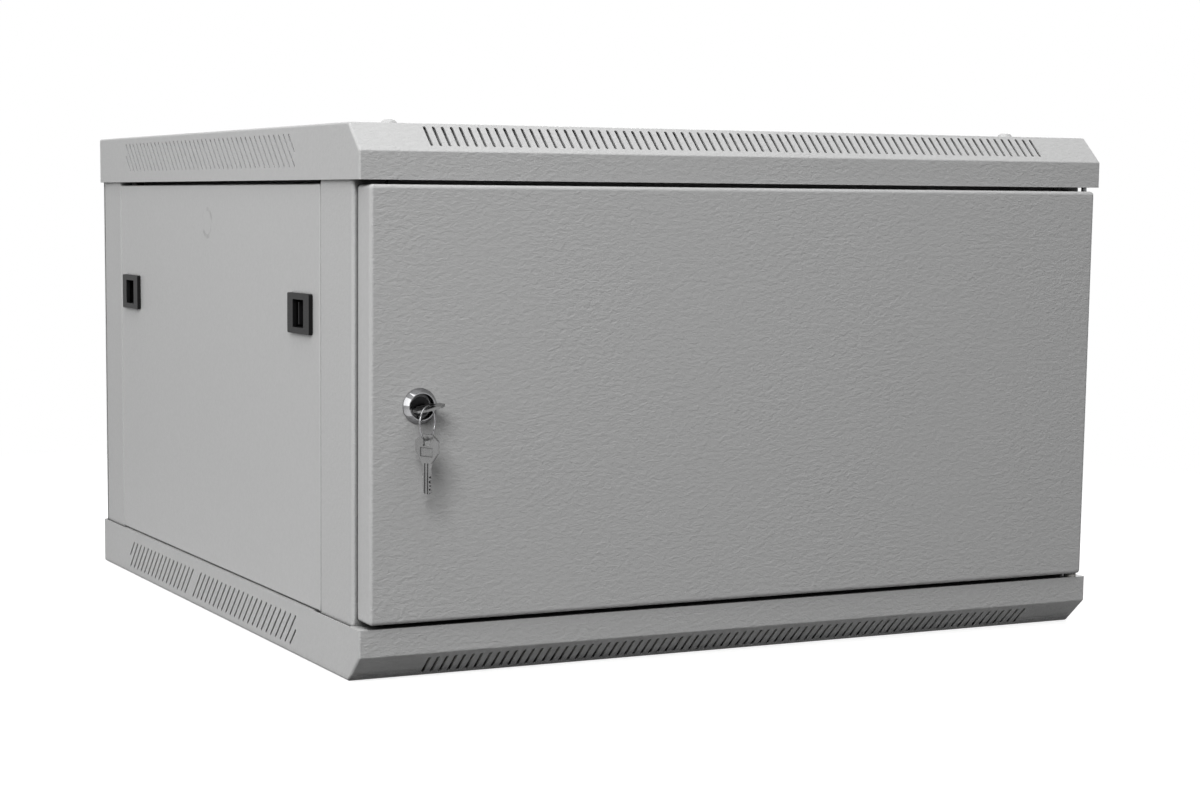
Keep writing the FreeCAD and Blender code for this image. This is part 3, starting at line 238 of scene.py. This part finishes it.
# gap_reach and closed set how far and how strongly each metal's painted shade darkens its gaps; on the chrome
# it darkens the lock's recess.
zinc = metal("zinc_plate", (0.60, 0.61, 0.62), rough=0.38, scratch=0.00003)
chrome = metal("chrome_plate", (0.42, 0.42, 0.43), rough=0.07, scratch=0.000004, gap_reach=0.014, closed=0.55)
wire_metal = metal("ring_wire", (0.22, 0.22, 0.225), rough=0.10, scratch=0.000004)
plug_metal = metal("plug_metal", (0.05, 0.05, 0.052), rough=0.30, scratch=0.00003, gap_reach=0.008, closed=0.45)
key_metal = metal("key_metal", (0.22, 0.22, 0.22), rough=0.28, scratch=0.00003, gap_reach=0.003, closed=0.76)
black = plastic("latch_plastic", (0.006, 0.006, 0.0063), rough=0.50, texture=0.00003)
nylon = plastic("nylon", (0.70, 0.69, 0.66), rough=0.42, texture=0.00002)
rubber = plastic("rubber", (0.022, 0.022, 0.022), rough=0.62, texture=0.00004)

by_slot = {
    "powder_coat": coat,
    "bolt_paint": coat,
    "zinc_steel": zinc,
    "chrome": chrome,
    "key_steel": key_metal,
    "black_plastic": black,
    "nylon": nylon,
    "rubber": rubber,
}
by_node = {
    "roof_cover": coat_cover,
    "base_cover": coat_cover,
    "side_panel_left": coat_marked,
    "side_panel_right": coat_side,
    "rear_panel": coat_side,
    "lock_plug": plug_metal,
    "key_ring": wire_metal,
}
inner_frame = ("front_rail", "rear_rail", "depth_rail", "front_bar", "rear_bar", "roof_entry", "base_entry",
               "door_stiffener", "hinge_bracket")
for name in nodes:
    if name.startswith(inner_frame) and not name.endswith("screws"):
        by_node[name] = coat_inner

for part in frame["record"]["subparts"]:
    material = by_node.get(part["node"], by_slot[part["material_slot"]])
    finishes = nodes[part["node"]].data.materials
    finishes.clear()
    finishes.append(material)


# ---- Hinge spring ----
def make_spring():
    """The CAD coil again, as a piece with its own mesh, attached to the door."""
    spring = bpy.data.objects.new("hinge_spring_coil", nodes["hinge_spring"].data.copy())
    scene.collection.objects.link(spring)
    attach(spring, "door")
    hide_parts("hinge_spring")
    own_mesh(spring)


make_spring()


# ---- Floor, light and background ----
FLOOR_HALF_SIDE = 9.0
FLOOR_DROP = 0.0006
FADE_START = 0.5
FADE_END = 1.2
FLOOR_GLOW = 0.80
FLOOR_SHADE = (0.60, 0.60, 0.60, 1)
FLOOR_BOUNCE = (0.07, 0.07, 0.07, 1)
FILL_LIGHT = 0.05
WHITE = (1, 1, 1, 1)


def seen_rays(tree):
    """1 for camera, mirror and glass rays, which see the white background, and 0 for all others."""
    path = tree.nodes.new("ShaderNodeLightPath")
    total = path.outputs["Is Camera Ray"]
    for kind in ("Is Glossy Ray", "Is Transmission Ray"):
        node = tree.nodes.new("ShaderNodeMath")
        node.operation = "MAXIMUM"
        tree.links.new(total, node.inputs[0])
        tree.links.new(path.outputs[kind], node.inputs[1])
        total = node.outputs[0]
    return total


def make_floor():
    """Pale floor that keeps the object's shadow and fades to white away from it."""
    mesh = bpy.data.meshes.new("floor")
    side = FLOOR_HALF_SIDE
    corners = [(-side, -side, 0), (side, -side, 0), (side, side, 0), (-side, side, 0)]
    mesh.from_pydata(corners, [], [(0, 1, 2, 3)])
    floor = bpy.data.objects.new("floor", mesh)
    floor.location.z = -FLOOR_DROP
    scene.collection.objects.link(floor)
    g = Graph("floor")
    seen = seen_rays(g.tree)
    place = g.add("ShaderNodeNewGeometry").outputs["Position"]
    away = g.add("ShaderNodeVectorMath", {0: place}, operation="LENGTH").outputs["Value"]
    glow_level = g.remap(away, FADE_START, FADE_END, FLOOR_GLOW, 1.0)
    nearness = g.remap(away, FADE_START, FADE_END, 1.0, 0.0)
    colour = g.mix(seen, FLOOR_BOUNCE, g.mix(nearness, BLACK, FLOOR_SHADE))
    shade = g.add("ShaderNodeBsdfDiffuse", {"Color": colour})
    glow = g.add("ShaderNodeEmission", {"Color": WHITE, "Strength": g.math("MULTIPLY", seen, glow_level)})
    total = g.add("ShaderNodeAddShader", {0: shade.outputs[0], 1: glow.outputs[0]})
    g.link(total.outputs[0], g.tree.nodes["Material Output"].inputs["Surface"])
    mesh.materials.append(g.material)


def make_world():
    """White to the camera, mirrors and glass; a faint fill to everything else."""
    world = bpy.data.worlds.new("studio")
    world.use_nodes = True
    tree = world.node_tree
    tree.nodes.clear()
    seen = seen_rays(tree)
    fill = tree.nodes.new("ShaderNodeBackground")
    fill.inputs["Strength"].default_value = FILL_LIGHT
    white = tree.nodes.new("ShaderNodeBackground")
    white.inputs["Strength"].default_value = 1.0
    for node in (fill, white):
        node.inputs["Color"].default_value = WHITE
    mix = tree.nodes.new("ShaderNodeMixShader")
    tree.links.new(seen, mix.inputs[0])
    tree.links.new(fill.outputs[0], mix.inputs[1])
    tree.links.new(white.outputs[0], mix.inputs[2])
    out = tree.nodes.new("ShaderNodeOutputWorld")
    tree.links.new(mix.outputs[0], out.inputs["Surface"])
    scene.world = world


def softbox(name, place, target, width, height, power):
    """A rectangular lamp of power watts that faces the target."""
    data = bpy.data.lights.new(name, "AREA")
    data.shape = "RECTANGLE"
    data.size = width
    data.size_y = height
    data.energy = power
    lamp = bpy.data.objects.new(name, data)
    lamp.location = place
    lamp.rotation_euler = (Vector(target) - Vector(place)).to_track_quat("-Z", "Y").to_euler()
    scene.collection.objects.link(lamp)


make_floor()
make_world()
softbox("top", (-0.3, -0.6, 2.6), (0.0, 0.0, 0.2), width=2.4, height=2.0, power=46.0)
softbox("left", (-2.4, -0.2, 1.0), (-0.2, 0.0, 0.2), width=1.8, height=1.6, power=19.3)
softbox("front_left", (-1.7, -2.3, 1.7), (-0.1, -0.3, 0.2), width=1.2, height=1.2, power=43.0)
softbox("rear_right", (2.0, 2.2, 1.3), (0.1, 0.2, 0.2), width=1.6, height=1.4, power=34.0)

scene.view_settings.view_transform = "Standard"
